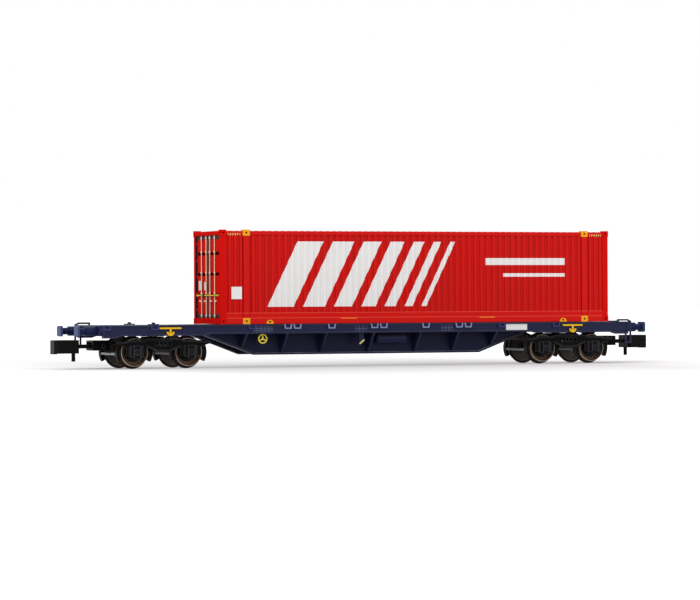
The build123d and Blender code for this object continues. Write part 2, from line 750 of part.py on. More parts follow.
# Couplers: a shank on trunnions and a hooked head, open in front on one half
with BuildPart() as coupler:
    with BuildSketch(Plane.XZ.offset(-pocket_half)):
        with Locations((coupler_pivot_x, trunnion_z)):
            Circle(coupler_trunnion_radius)
    extrude(amount=2 * pocket_half)
    block((coupler_pivot_x - coupler_trunnion_radius, -shank_half, shank_bottom),
          (coupler_rear, shank_half, shank_top))
    with BuildSketch(Plane.XY.offset(coupler_bottom)):
        Polygon((coupler_rear, -coupler_half + coupler_rear_chamfer),
                (coupler_rear + coupler_rear_chamfer, -coupler_half),
                (coupler_front - coupler_nose, -coupler_half),
                (coupler_front - coupler_nose, -coupler_half + coupler_wall),
                (coupler_rear + coupler_wall, -coupler_half + coupler_wall),
                (coupler_rear + coupler_wall, coupler_half - coupler_wall),
                (coupler_front - coupler_wall, coupler_half - coupler_wall),
                (coupler_front - coupler_wall, -coupler_wall / 2),
                (coupler_front, -coupler_wall / 2), (coupler_front, coupler_half - coupler_nose / 2),
                (coupler_front - coupler_nose / 2, coupler_half),
                (coupler_rear + coupler_rear_chamfer, coupler_half),
                (coupler_rear, coupler_half - coupler_rear_chamfer), align=None)
    extrude(amount=coupler_top - coupler_bottom)
    block((coupler_front - coupler_wall, -coupler_wall / 2, coupler_bottom - coupler_lip),
          (coupler_front, coupler_half - coupler_nose, coupler_bottom))
    with BuildSketch(Plane.XY.offset(coupler_pin_bottom)):
        with Locations((coupler_pin_x, 0)):
            Circle(coupler_pin_radius)
    extrude(amount=coupler_bottom - coupler_pin_bottom)
at_ends(coupler.part, "coupler")

# Wheelsets: a dished wheel on each end of an axle with pointed journals
wheel_face = wheel_back + wheel_width
rim_inner = tread_radius - rim_depth
web_back = wheel_back + rim_dish
wheel_profile = [               # radius, distance from the middle
    (axle_radius, wheel_back - hub_proud), (hub_radius, wheel_back - hub_proud), (hub_radius, web_back),
    (rim_inner, web_back), (rim_inner, wheel_back), (flange_radius - flange_width / 3, wheel_back),
    (flange_radius, wheel_back + flange_width / 3),
    (flange_radius - flange_width / 6, wheel_back + flange_width * 0.6),
    (tread_radius, wheel_back + flange_width), (tread_radius - tread_taper, wheel_face),
    (rim_inner, wheel_face), (rim_inner, web_back + wheel_web), (hub_radius, web_back + wheel_web),
    (hub_radius, wheel_face + hub_proud), (axle_radius, wheel_face + hub_proud)]
with BuildPart() as wheels:
    with BuildSketch(Plane.XY):
        Polygon(*wheel_profile, align=None)
    revolve(axis=Axis.Y)
    mirror(about=Plane.XZ)
with BuildPart() as axle:
    with BuildSketch(Plane.XY):
        axle_profile = [(axle_radius, 0), (axle_radius, journal_shoulder), (journal_radius, journal_shoulder),
                        (journal_radius, journal_end), (0, axle_tip)]
        Polygon(*[(r, -y) for r, y in reversed(axle_profile[1:])], *axle_profile, align=None)
    revolve(axis=Axis.Y)
wheelsets = [(-pivot_x - axle_x, "1"), (-pivot_x + axle_x, "2"),
             (pivot_x - axle_x, "3"), (pivot_x + axle_x, "4")]
for x, number in wheelsets:
    for piece, name in ((wheels, "wheels"), (axle, "axle")):
        with BuildPart() as placed:
            with Locations((x, 0, axle_z)):
                add(piece.part)
        save(placed.part, f"{name}_{number}")

# Container: where its panels stand
rail_face = box_side - face_step
band_face = rail_face - face_step
crest_face = band_face - face_step
wall_inner = box_side - wall_thick
side_start = box_half - post_width
roof_top = box_top - roof_drop
roof_under = roof_top - roof_thick
floor_under = box_bottom + floor_raise
floor_top = floor_under + floor_thick
rail_top = box_bottom + bottom_rail_height
band_top = rail_top + kick_band_height
panel_top = box_top - top_rail_height


def corrugation(start, end, inner, crest, depth):
    count = int(round((end - start) / corrugation_pitch))
    pitch = (end - start) / count
    points = [(start, inner)]
    for index in range(count):
        points += [(start + (index + along) * pitch, crest - drop * depth)
                   for along, drop in corrugation_shape]
    return points + [(end, crest - depth), (end, inner)]


# Container sides: corrugated panels between rails, with a post at each lifting point
lift_post_edges = [-side_start, -lift_post_x - post_width / 2, -lift_post_x + post_width / 2,
                   lift_post_x - post_width / 2, lift_post_x + post_width / 2, side_start]
with BuildPart() as container_side_far:
    with BuildSketch(Plane.XY.offset(band_top)):
        for start, end in zip(lift_post_edges[::2], lift_post_edges[1::2]):
            outline = corrugation(box_x + start, box_x + end, wall_inner, crest_face, corrugation_depth)
            Polygon(*outline, align=None)
    extrude(amount=panel_top - band_top)
    for post_x in (-lift_post_x, lift_post_x):
        block((box_x + post_x - post_width / 2, wall_inner, rail_top),
              (box_x + post_x + post_width / 2, rail_face, panel_top))
    for low, high, face in ((floor_under, rail_top, rail_face), (rail_top, band_top, band_face),
                            (panel_top, roof_under, rail_face)):
        block((box_x - side_start, wall_inner, low), (box_x + side_start, face, high))
    for post_x in (-lift_post_x, lift_post_x):
        for low, high in ((floor_under, box_bottom + casting_height), (box_top - casting_height, roof_under)):
            block((box_x + post_x - casting_length / 2, box_side - casting_width, low),
                  (box_x + post_x + casting_length / 2, rail_face, high), mode=Mode.SUBTRACT)
save(container_side_far.part, "container_side_far")
with BuildPart() as container_side_near:
    mirror(container_side_far.part, about=Plane.XZ)
save(container_side_near.part, "container_side_near")

# Lifting castings at the posts, with a hole in the face, and one in the foot that takes the spigot.
# The half-round lashing plates on the bottom rails share their node.
casting_rows = ((box_bottom, box_bottom + casting_height), (box_top - casting_height, box_top))
with BuildPart() as lift_castings:
    for end in (-1, 1):
        x = box_x + end * lift_post_x
        for sign in (-1, 1):
            for low, high in casting_rows:
                y_low, y_high = sorted((sign * (box_side - casting_width), sign * box_side))
                block((x - casting_length / 2, y_low, low), (x + casting_length / 2, y_high, high))
                with BuildSketch(Plane.XZ.offset(-sign * box_side)):
                    with Locations((x, (low + high) / 2)):
                        RegularPolygon(casting_hole, casting_hole_sides)
                extrude(amount=sign * casting_hole_depth, mode=Mode.SUBTRACT)
            with BuildSketch(Plane.XY.offset(box_bottom)):
                with Locations((x, sign * pad_y)):
                    Circle(spigot_radius + spigot_clearance)
            extrude(amount=spigot_height + spigot_clearance, mode=Mode.SUBTRACT)
            lashing_x = x - end * lashing_from_casting
            with BuildSketch(Plane.XZ.offset(-sign * rail_face)):
                with Locations((lashing_x, floor_under)):
                    Circle(lashing_radius)
                with Locations((lashing_x, floor_under - lashing_radius)):
                    Rectangle(2 * lashing_radius, 2 * lashing_radius, mode=Mode.SUBTRACT)
                with Locations((lashing_x, floor_under + lashing_radius / 2)):
                    Circle(lashing_hole, mode=Mode.SUBTRACT)
            extrude(amount=-sign * lashing_thick)
save(lift_castings.part, "lift_castings")

# End frames: posts, sill and header in one ring at the door end and the front end, with proud castings
ring_y = wall_inner
for name, sign in (("door_frame", -1), ("front_frame", 1)):
    with BuildPart() as ring:
        start = box_x + sign * side_start
        with BuildSketch(Plane.YZ.offset(start)):
            with Locations((0, (floor_under + roof_top) / 2)):
                Rectangle(box_width - 2 * casting_proud, roof_top - floor_under)
            with Locations((0, (rail_top + panel_top) / 2)):
                Rectangle(2 * ring_y, panel_top - rail_top, mode=Mode.SUBTRACT)
        extrude(amount=sign * (post_width - casting_proud))
        for y_sign in (-1, 1):
            for low, high in casting_rows:
                x_low, x_high = sorted((start, start + sign * post_width))
                y_low, y_high = sorted((y_sign * (box_side - casting_width), y_sign * box_side))
                block((x_low, y_low, low), (x_high, y_high, high))
                z = (low + high) / 2
                with BuildSketch(Plane.XZ.offset(-y_sign * box_side)):
                    with Locations((start + sign * post_width / 2, z)):
                        RegularPolygon(casting_hole, casting_hole_sides)
                extrude(amount=y_sign * casting_hole_depth, mode=Mode.SUBTRACT)
                with BuildSketch(Plane.YZ.offset(start + sign * post_width)):
                    with Locations((y_sign * (box_side - casting_width / 2), z)):
                        RegularPolygon(casting_hole, casting_hole_sides)
                extrude(amount=-sign * casting_hole_depth, mode=Mode.SUBTRACT)
    save(ring.part, f"container_{name}")

# Front wall, corrugated upright
with BuildPart() as container_front:
    with BuildSketch(Plane.YX.offset(-rail_top)):
        front_crest = box_x + box_half - casting_proud - face_step
        outline = corrugation(-ring_y, ring_y, front_crest - wall_thick / 2, front_crest, corrugation_depth)
        Polygon(*outline, align=None)
    extrude(amount=-(panel_top - rail_top))
save(container_front.part, "container_front")

# Doors: two leaves with pressed horizontal bands, and hinges down their outer edges
leaf_face = box_x - box_half + door_recess
leaf_low = rail_top + door_gap / 2
leaf_high = panel_top - door_gap / 2
leaf_height = leaf_high - leaf_low
for side, sign in near_and_far:
    with BuildPart() as leaf:
        y_low, y_high = sorted((sign * door_gap / 2, sign * (ring_y - door_gap / 2)))
        block((leaf_face, y_low, leaf_low), (leaf_face + door_thick, y_high, leaf_high))
        for part_height in door_bands:
            z = leaf_low + part_height * leaf_height
            block((leaf_face, y_low + door_band_height, z - door_band_height / 2),
                  (leaf_face + door_band_depth, y_high - door_band_height, z + door_band_height / 2),
                  mode=Mode.SUBTRACT)
        leaf_edge = ring_y - door_gap / 2
        hinge_low, hinge_high = sorted((sign * leaf_edge, sign * (leaf_edge - hinge_width)))
        for index in range(hinge_count):
            z = leaf_low + (index + 0.5) / hinge_count * leaf_height
            block((leaf_face - hinge_thick, hinge_low, z - hinge_height / 2),
                  (leaf_face, hinge_high, z + hinge_height / 2))
    save(leaf.part, f"container_door_{side}")

# Locking bars: upright rods held by keepers on the leaves, each with a handle that points outwards
with BuildPart() as lock_bars:
    for sign in (-1, 1):
        for place in lock_bar_y:
            y = sign * place
            with BuildSketch(Plane.XY.offset(leaf_low)):
                with Locations((leaf_face - lock_bar_radius, y)):
                    RegularPolygon(lock_bar_radius, lock_bar_sides)
            extrude(amount=leaf_height)
            for part_height in lock_keepers:
                z = leaf_low + part_height * leaf_height
                block((leaf_face - 2 * lock_bar_radius, y - lock_keeper / 2, z - lock_keeper_height / 2),
                      (leaf_face, y + lock_keeper / 2, z + lock_keeper_height / 2))
            handle_z = box_bottom + lock_handle_z
            y_low, y_high = sorted((y, y + sign * lock_handle_length))
            block((leaf_face - 2 * lock_bar_radius, y_low, handle_z - lock_bar_radius),
                  (leaf_face - lock_bar_radius, y_high, handle_z + lock_bar_radius))
save(lock_bars.part, "container_lock_bars")

# Roof with shallow pressed ribs across it
with BuildPart() as container_roof:
    with BuildSketch(Plane.XZ.offset(-rail_face)):
        outline = corrugation(box_x - side_start, box_x + side_start, roof_under, roof_top, roof_rib)
        Polygon(*outline, align=None)
    extrude(amount=2 * rail_face)
    for x in (box_x - lift_post_x, box_x + lift_post_x):
        for sign in (-1, 1):
            y_low, y_high = sorted((sign * (box_side - casting_width), sign * box_side))
            block((x - casting_length / 2, y_low, roof_under), (x + casting_length / 2, y_high, box_top),
                  mode=Mode.SUBTRACT)
save(container_roof.part, "container_roof")

# Floor between the side panels
with BuildPart() as container_floor:
    block((box_x - side_start, -wall_inner, floor_under), (box_x + side_start, wall_inner, floor_top))
    for x in (box_x - lift_post_x, box_x + lift_post_x):
        for sign in (-1, 1):
            y_low, y_high = sorted((sign * (box_side - casting_width), sign * wall_inner))
            block((x - casting_length / 2, y_low, floor_under), (x + casting_length / 2, y_high, floor_top),
                  mode=Mode.SUBTRACT)
save(container_floor.part, "container_floor")
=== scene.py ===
import math

import bpy
from mathutils import Matrix, Vector


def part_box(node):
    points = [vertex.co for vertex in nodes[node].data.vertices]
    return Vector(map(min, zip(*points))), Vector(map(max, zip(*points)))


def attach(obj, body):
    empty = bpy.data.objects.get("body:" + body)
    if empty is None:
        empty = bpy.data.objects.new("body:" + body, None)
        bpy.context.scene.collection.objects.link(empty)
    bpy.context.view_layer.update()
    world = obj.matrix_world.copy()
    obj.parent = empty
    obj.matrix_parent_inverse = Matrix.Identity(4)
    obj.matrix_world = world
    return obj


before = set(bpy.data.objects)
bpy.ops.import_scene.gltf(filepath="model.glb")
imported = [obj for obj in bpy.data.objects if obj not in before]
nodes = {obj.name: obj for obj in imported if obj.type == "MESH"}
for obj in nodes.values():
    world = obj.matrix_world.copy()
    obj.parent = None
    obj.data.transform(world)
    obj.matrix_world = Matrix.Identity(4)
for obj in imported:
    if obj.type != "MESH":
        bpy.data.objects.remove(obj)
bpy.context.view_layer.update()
mm = 0.001  # sizes and places below are in mm
print("frame loaded:", len(nodes), "nodes")


def linear(red, green, blue):  # screen colour 0-255 to the shader's linear colour
    parts = [c / 255 for c in (red, green, blue)]
    parts = [c / 12.92 if c <= 0.04045 else ((c + 0.055) / 1.055) ** 2.4 for c in parts]
    return (*parts, 1)


def boxOf(*names):  # lowest and highest corner of some nodes
    corners = [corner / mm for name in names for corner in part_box(name)]
    return (Vector([min(c[i] for c in corners) for i in range(3)]),
            Vector([max(c[i] for c in corners) for i in range(3)]))


boxLow, boxHigh = boxOf("container_door_frame", "container_front_frame")
boxMiddle, boxHalf = (boxLow + boxHigh) / 2, (boxHigh - boxLow) / 2
doorLow, doorHigh = boxOf("container_door_near", "container_door_far")
sideLow = boxOf("container_side_near", "container_side_far")[0]
sillLow = boxOf("side_sill_near", "side_sill_far")[0]


# shader helpers
def addNode(tree, kind, inputs=None, **settings):
    node = tree.nodes.new(kind)
    for key, value in settings.items():
        setattr(node, key, value)
    for key, value in (inputs or {}).items():
        feed(tree, value, node.inputs[key])
    return node


def feed(tree, value, socket):
    if hasattr(value, "is_output"):
        tree.links.new(value, socket)
    else:
        socket.default_value = value


def calc(tree, operation, *values):
    return addNode(tree, "ShaderNodeMath", dict(enumerate(values)), operation=operation).outputs[0]


def blendColour(tree, amount, first, second):
    return addNode(tree, "ShaderNodeMix", {0: amount, 6: first, 7: second}, data_type="RGBA").outputs[2]


def noise(tree, scale, detail):
    place = addNode(tree, "ShaderNodeTexCoord").outputs["Object"]
    node = addNode(tree, "ShaderNodeTexNoise", {"Vector": place, "Scale": scale, "Detail": detail})
    return node.outputs["Fac"]


def eased(tree, value, low, high):  # 0 to 1 from a low to a high value, smoothly
    limits = {"Value": value, "From Min": low, "From Max": high}
    return addNode(tree, "ShaderNodeMapRange", limits, interpolation_type="SMOOTHSTEP").outputs[0]


def newGroup(name, inputs, outputs):  # node group with named sockets of some kinds
    tree = bpy.data.node_groups.new(name, "ShaderNodeTree")
    for direction, sockets in (("INPUT", inputs), ("OUTPUT", outputs)):
        for socketName, kind in sockets.items():
            tree.interface.new_socket(socketName, in_out=direction, socket_type="NodeSocket" + kind)
    return tree, tree.nodes.new("NodeGroupInput").outputs, tree.nodes.new("NodeGroupOutput").inputs


def useGroup(tree, group, **values):
    node = tree.nodes.new("ShaderNodeGroup")
    node.node_tree = group
    for key, value in values.items():
        feed(tree, value, node.inputs[key])
    return node.outputs


def spotOf(tree):  # place on the piece
    place = addNode(tree, "ShaderNodeTexCoord").outputs["Object"]
    parts = addNode(tree, "ShaderNodeSeparateXYZ", {0: place}).outputs
    return [calc(tree, "DIVIDE", part, mm) for part in parts]


def within(tree, value, low, high):  # 1 between two values
    return calc(tree, "COMPARE", value, (low + high) / 2, (high - low) / 2)


def folded(tree, value, middle):  # distance from a middle
    return calc(tree, "ABSOLUTE", calc(tree, "SUBTRACT", value, middle))


def reach(tree, first, second):  # length of two steps at right angles
    return calc(tree, "SQRT", calc(tree, "ADD", both(tree, first, first), both(tree, second, second)))


def both(tree, first, second):
    return calc(tree, "MULTIPLY", first, second)


def either(tree, *masks):
    joined = masks[0]
    for mask in masks[1:]:
        joined = calc(tree, "MAXIMUM", joined, mask)
    return joined


# moulded or painted surface: cloudy tone, fine grain, pale edges that are partly wear and partly a painted
# highlight, and a lighter top that is partly dust and partly painted light on what faces up
finishLook = dict(
    cloudScale=260.0, cloudDetail=4.0, grainDetail=2.0, grainDepth=0.05, roughSwing=0.2,
    dustColour=linear(190, 190, 195),
    edgeRadius=0.16, edgeSamples=6, edgeSharpness=4.0, edgeColour=linear(170, 172, 178))


def buildFinish(f):
    tree, given, result = newGroup(
        "modelFinish",
        dict(Colour="Color", Tone="Float", Dust="Float", Rough="Float", Grain="Float", Wear="Float"),
        dict(Colour="Color", Roughness="Float", Height="Float"))
    cloud = noise(tree, f["cloudScale"], f["cloudDetail"])
    speck = noise(tree, given["Grain"], f["grainDetail"])
    normal = addNode(tree, "ShaderNodeNewGeometry").outputs["Normal"]
    upward = addNode(tree, "ShaderNodeSeparateXYZ", {0: normal}).outputs[2]
    swing = both(tree, calc(tree, "SUBTRACT", cloud, 0.5), given["Tone"])
    value = calc(tree, "MULTIPLY_ADD", swing, 2.0, 1.0)
    toned = addNode(tree, "ShaderNodeHueSaturation", {"Value": value, "Color": given["Colour"]}).outputs[0]
    rounded = addNode(tree, "ShaderNodeBevel", {"Radius": f["edgeRadius"] * mm}, samples=f["edgeSamples"])
    bend = addNode(tree, "ShaderNodeVectorMath", {0: rounded.outputs[0], 1: normal}, operation="DOT_PRODUCT")
    edge = both(tree, calc(tree, "SUBTRACT", 1.0, bend.outputs["Value"]), f["edgeSharpness"])
    # pale edges: partly real wear, partly a painted highlight along every edge
    worn = both(tree, both(tree, calc(tree, "MINIMUM", edge, 1.0), cloud), given["Wear"])
    # lighter tops: partly dust, partly painted light on what faces up
    settled = both(tree, calc(tree, "MAXIMUM", upward, 0.0), both(tree, given["Dust"], cloud))
    dusted = blendColour(tree, settled, blendColour(tree, worn, toned, f["edgeColour"]), f["dustColour"])
    rough = calc(tree, "MULTIPLY_ADD", calc(tree, "SUBTRACT", speck, 0.5), f["roughSwing"], given["Rough"])
    tree.links.new(dusted, result["Colour"])
    tree.links.new(rough, result["Roughness"])
    tree.links.new(speck, result["Height"])
    return tree


# ink printed over a paint, a touch thin in places; the same group also lays painted highlights
inkLook = dict(scale=1800.0, detail=3.0)


def buildInk(i):
    tree, given, result = newGroup(
        "printedInk", dict(Paint="Color", Ink="Color", Mask="Float", Thin="Float"), dict(Colour="Color"))
    thinned = both(tree, noise(tree, i["scale"], i["detail"]), given["Thin"])
    cover = both(tree, given["Mask"], calc(tree, "SUBTRACT", 1.0, thinned))
    tree.links.new(blendColour(tree, cover, given["Paint"], given["Ink"]), result["Colour"])
    return tree


finish = buildFinish(finishLook)
printed = buildInk(inkLook)


def ink(tree, paint, colour, mask, thin=0.06):
    return useGroup(tree, printed, Paint=paint, Ink=colour, Mask=mask, Thin=thin)["Colour"]


def newMaterial(name, colour, tone=0.08, dust=0.05, rough=0.45, grain=5000.0, bump=0.06, metallic=0.0,
                specular=0.12, wear=0.0, paint=None):
    material = bpy.data.materials.new(name)
    material.use_nodes = True
    tree = material.node_tree
    shader = tree.nodes["Principled BSDF"]
    shader.inputs["Metallic"].default_value = metallic
    shader.inputs["Specular IOR Level"].default_value = specular
    base = paint(tree, colour) if paint else colour
    skin = useGroup(tree, finish, Colour=base, Tone=tone, Dust=dust, Rough=rough, Grain=grain, Wear=wear)
    depth = finishLook["grainDepth"] * mm
    relief = addNode(tree, "ShaderNodeBump", {"Strength": bump, "Distance": depth, "Height": skin["Height"]})
    tree.links.new(skin["Colour"], shader.inputs["Base Color"])
    tree.links.new(skin["Roughness"], shader.inputs["Roughness"])
    tree.links.new(relief.outputs[0], shader.inputs["Normal"])
    return material


def dress(material, *starts):  # gives a material to the nodes whose names start so
    for name, node in nodes.items():
        if any(name.startswith(start) for start in starts):
            node.data.materials.clear()
            node.data.materials.append(material)


# camera, from the fit to the container's corners
cameraView = dict(azimuth=-22.711, elevation=-0.019, roll=-0.273, distance=668.251, right=-11.029, up=4.634,
                  lens=168.16, sensor=36, clip=10)


def placeCamera(v):
    a, e, r = (math.radians(v[key]) for key in ("azimuth", "elevation", "roll"))
    back = Vector((math.sin(a) * math.cos(e), -math.cos(a) * math.cos(e), math.sin(e)))
    right = Vector((math.cos(a), math.sin(a), 0))
    up = back.cross(right)
    right, up = right * math.cos(r) + up * math.sin(r), up * math.cos(r) - right * math.sin(r)
    focus = Vector((boxMiddle.x, 0, boxLow.z))  # middle of the container's foot
    spot = focus + back * v["distance"] + right * v["right"] + up * v["up"]
    lens = bpy.data.cameras.new("photoCamera")
    lens.lens = v["lens"]
    lens.sensor_width = v["sensor"]
    lens.clip_start = v["clip"] * mm
    camera = bpy.data.objects.new("photoCamera", lens)
    bpy.context.scene.collection.objects.link(camera)
    camera.matrix_world = Matrix.Translation(spot * mm) @ Matrix((right, up, back)).transposed().to_4x4()
    bpy.context.scene.camera = camera


placeCamera(cameraView)
print("camera placed")

# studio: pale floor with a painted shadow under the wagon (a darker base colour) and a camera-seen glow
# raised close to the wagon to lift its real shadow, white surround and three soft lamps
studio = dict(
    floorSize=6000, floorRough=0.9, shade=linear(158, 158, 163), white=linear(246, 246, 247),
    shadeWide=100, shadeLong=36, shadeEnds=3.6, whiteFrom=90, whiteTo=300,
    glowNear=0.41, glowAround=0.12, glowFar=0.5, skyLight=0.72,
    lamps={  # place, aim, size, power
        "keyLamp": ((-600, -350, 450), (0, 0, 15), 500, 1.6),
        "fillLamp": ((350, -700, 350), (10, 0, 15), 600, 1.1),
        "topLamp": ((0, 50, 700), (0, 0, 0), 800, 0.6)})


def seenRays(tree):  # camera, glossy and transmission rays see the white background
    path = addNode(tree, "ShaderNodeLightPath").outputs
    return either(tree, path["Is Camera Ray"], path["Is Glossy Ray"], path["Is Transmission Ray"])


def buildSky(s):
    scene = bpy.context.scene
    scene.view_settings.view_transform = "Standard"
    world = scene.world or bpy.data.worlds.new("studio")
    scene.world = world
    world.use_nodes = True
    tree = world.node_tree
    tree.nodes.clear()
    strength = calc(tree, "MULTIPLY_ADD", seenRays(tree), 1 - s["skyLight"], s["skyLight"])
    sky = addNode(tree, "ShaderNodeBackground", {"Color": (1, 1, 1, 1), "Strength": strength})
    tree.links.new(sky.outputs[0], addNode(tree, "ShaderNodeOutputWorld").inputs[0])


def buildFloor(s):
    bpy.ops.object.select_all(action="DESELECT")
    bpy.ops.mesh.primitive_plane_add(size=s["floorSize"] * mm)
    floor = bpy.context.object
    floor.name = "floor"
    floorPaint = bpy.data.materials.new("floorPaint")
    floorPaint.use_nodes = True
    tree = floorPaint.node_tree
    shader = tree.nodes["Principled BSDF"]
    shader.inputs["Roughness"].default_value = s["floorRough"]
    shader.inputs["Specular IOR Level"].default_value = 0.0
    shader.inputs["Emission Color"].default_value = (1, 1, 1, 1)
    x, y, z = spotOf(tree)
    past = calc(tree, "MAXIMUM", calc(tree, "SUBTRACT", folded(tree, x, 0.0), s["shadeLong"]), 0.0)
    away = reach(tree, both(tree, past, s["shadeEnds"]), y)
    around = eased(tree, away, 0.0, s["shadeWide"])
    far = eased(tree, away, s["whiteFrom"], s["whiteTo"])
    # painted shadow: the floor's base colour darkens towards the wagon
    tree.links.new(blendColour(tree, around, s["shade"], s["white"]), shader.inputs["Base Color"])
    # painted light: the glow is raised close to the wagon to lift the real shadow there
    glow = calc(tree, "MULTIPLY_ADD", around, s["glowAround"] - s["glowNear"], s["glowNear"])
    glow = calc(tree, "MULTIPLY_ADD", far, s["glowFar"] - s["glowAround"], glow)
    tree.links.new(both(tree, seenRays(tree), glow), shader.inputs["Emission Strength"])
    floor.data.materials.append(floorPaint)


def buildLamps(s):
    for name, (place, aim, size, power) in s["lamps"].items():
        lamp = bpy.data.lights.new(name, "AREA")
        lamp.size = size * mm
        lamp.energy = power
        holder = bpy.data.objects.new(name, lamp)
        bpy.context.scene.collection.objects.link(holder)
        holder.location = Vector(place) * mm
        holder.rotation_euler = (Vector(aim) - Vector(place)).to_track_quat("-Z", "Y").to_euler()


buildSky(studio)
buildFloor(studio)
buildLamps(studio)
print("studio built")

# frame and fittings
navy = linear(29, 34, 66)
sillPrint = dict(  # blank load tables on the near sill: from, to along X, rows, columns
    tables=((-26.0, -21.9, 3, 5), (-4.0, -1.5, 2, 3), (14.9, 17.3, 2, 3)), low=7.05, high=8.15, line=0.05,
    colour=linear(112, 118, 150), thin=0.5)


def paintSill(tree, paint):
    x, y, z = spotOf(tree)
    p = sillPrint
    nearFace = calc(tree, "LESS_THAN", y, 0.0)
    lines = []
    for start, end, rows, columns in p["tables"]:
        area = both(tree, within(tree, x, start, end), within(tree, z, p["low"], p["high"]))
        rowStep = (p["high"] - p["low"]) / rows
        columnStep = (end - start) / columns
        for value, origin, step in ((z, p["low"], rowStep), (x, start, columnStep)):
            offLine = calc(tree, "PINGPONG", calc(tree, "SUBTRACT", value, origin), step / 2)
            lines.append(both(tree, area, calc(tree, "LESS_THAN", offLine, p["line"])))
    return ink(tree, paint, p["colour"], both(tree, nearFace, either(tree, *lines)), p["thin"])


dress(newMaterial("sillNavy", navy, rough=0.34, dust=0.4, wear=0.25, paint=paintSill), "side_sill")
dress(newMaterial("navyPaint", navy, rough=0.34, dust=0.3, wear=0.25), "end_frame", "headstock", "outriggers",
      "cross_members", "corner_steps", "deck_spigots")
# painted shade: the girders take a darker navy than the frame; their large top and edge shares also paint a
# pale highlight on the sloping flanges
dress(newMaterial("bellyNavy", linear(15, 20, 51), rough=0.4, dust=1.6, wear=0.95), "girder")
dress(newMaterial("tankNavy", linear(30, 34, 66), rough=0.36, dust=0.1), "air_tank")

bufferLook = dict(head=0.45, headBlue=linear(54, 68, 110), sleeveBlue=linear(18, 28, 68))
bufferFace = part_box("buffers_right")[1].x / mm


def paintBuffer(tree, paint):  # painted highlight: paler heads on dark sleeves
    x, y, z = spotOf(tree)
    head = calc(tree, "GREATER_THAN", folded(tree, x, 0.0), bufferFace - bufferLook["head"])
    return blendColour(tree, head, paint, bufferLook["headBlue"])


bufferBlue = newMaterial(
    "bufferBlue", bufferLook["sleeveBlue"], rough=0.36, dust=0.05, specular=0.08, paint=paintBuffer)
dress(bufferBlue, "buffers")

bracketLook = dict(paleFrom=-22.0, paleTo=22.0, pale=linear(138, 143, 190), dim=linear(58, 62, 118))


def paintBracket(tree, paint):  # pale edges along the middle of the wagon, dim ones towards its ends
    x, y, z = spotOf(tree)
    middle = within(tree, x, bracketLook["paleFrom"], bracketLook["paleTo"])
    return blendColour(tree, middle, bracketLook["dim"], paint)


dress(newMaterial("bracketLilac", bracketLook["pale"], rough=0.5, paint=paintBracket), "folding_spigots")
dress(newMaterial("hookYellow", linear(243, 190, 30), rough=0.45), "rope_hooks")

handWheelLook = dict(rim=0.45, yellow=linear(238, 212, 78))
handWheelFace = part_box("hand_wheel_far")[1].y / mm


def paintHandWheel(tree, paint):  # yellow rim and spokes on a navy shaft
    x, y, z = spotOf(tree)
    shaft = calc(tree, "LESS_THAN", folded(tree, y, 0.0), handWheelFace - handWheelLook["rim"])
    return blendColour(tree, shaft, paint, navy)


dress(newMaterial("handWheelYellow", handWheelLook["yellow"], rough=0.45, paint=paintHandWheel), "hand_wheel")

leverLook = dict(plate=0.23, pale=linear(236, 226, 150))
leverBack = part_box("changeover_lever_far")[0].y / mm


def paintLever(tree, paint):  # pale handle in front of a navy plate
    x, y, z = spotOf(tree)
    handle = calc(tree, "GREATER_THAN", folded(tree, y, 0.0), leverBack + leverLook["plate"])
    return ink(tree, paint, leverLook["pale"], handle)


dress(newMaterial("leverPlate", navy, rough=0.4, paint=paintLever), "changeover_lever")
print("frame dressed")

# bogies, wheels and couplers
pinLow, pinHigh = boxOf("pivot_pin_right")
axleLow, axleHigh = boxOf("axle_4")
bogieX = (pinLow.x + pinHigh.x) / 2
axleOut = (axleLow.x + axleHigh.x) / 2 - bogieX
axleUp = (axleLow.z + axleHigh.z) / 2


def fromAxle(tree):  # distance from the nearest axle's line
    x, y, z = spotOf(tree)
    along = folded(tree, folded(tree, folded(tree, x, 0.0), bogieX), axleOut)
    return reach(tree, along, calc(tree, "SUBTRACT", z, axleUp))


wheelLook = dict(  # radii, and how far from the middle the wheels' backs reach
    face=linear(24, 21, 20), rim=linear(44, 34, 29), rimFrom=2.4,
    band=(1.95, 2.36), brown=linear(124, 92, 72), bandThin=0.6,
    ring=(2.66, 2.77), bronze=linear(214, 186, 158), ringThin=0.5,
    backWithin=4.3, backRadius=2.8, back=linear(106, 98, 92))


def paintWheel(tree, paint):  # dark face, brown band and rim, bright ring as a painted highlight, paler grey-brown back
    w = wheelLook
    radius = fromAxle(tree)
    x, y, z = spotOf(tree)
    front = blendColour(tree, calc(tree, "GREATER_THAN", radius, w["rimFrom"]), paint, w["rim"])
    front = ink(tree, front, w["brown"], within(tree, radius, *w["band"]), w["bandThin"])
    front = ink(tree, front, w["bronze"], within(tree, radius, *w["ring"]), w["ringThin"])
    inside = both(tree, calc(tree, "LESS_THAN", folded(tree, y, 0.0), w["backWithin"]),
                  calc(tree, "LESS_THAN", radius, w["backRadius"]))
    return blendColour(tree, inside, front, w["back"])


beamLook = dict(low=2.65, high=3.25, inside=4.35, colour=linear(228, 230, 232), thin=0.4)


def paintBrake(tree, paint):  # painted highlight: bright beams between the black shoes
    x, y, z = spotOf(tree)
    beam = both(tree, within(tree, z, beamLook["low"], beamLook["high"]),
                calc(tree, "LESS_THAN", folded(tree, y, 0.0), beamLook["inside"]))
    return ink(tree, paint, beamLook["colour"], beam, beamLook["thin"])


bogieLook = dict(  # how far from the middle each painted highlight tone starts
    black=linear(8, 8, 10),
    steps=((6.63, linear(23, 23, 26)), (7.05, linear(13, 13, 16)), (7.25, linear(30, 30, 34))))


def paintBogie(tree, paint):  # painted highlight: what stands proud of the side frames is paler
    x, y, z = spotOf(tree)
    depth = folded(tree, y, 0.0)
    for proud, colour in bogieLook["steps"]:
        paint = blendColour(tree, calc(tree, "GREATER_THAN", depth, proud), paint, colour)
    return paint


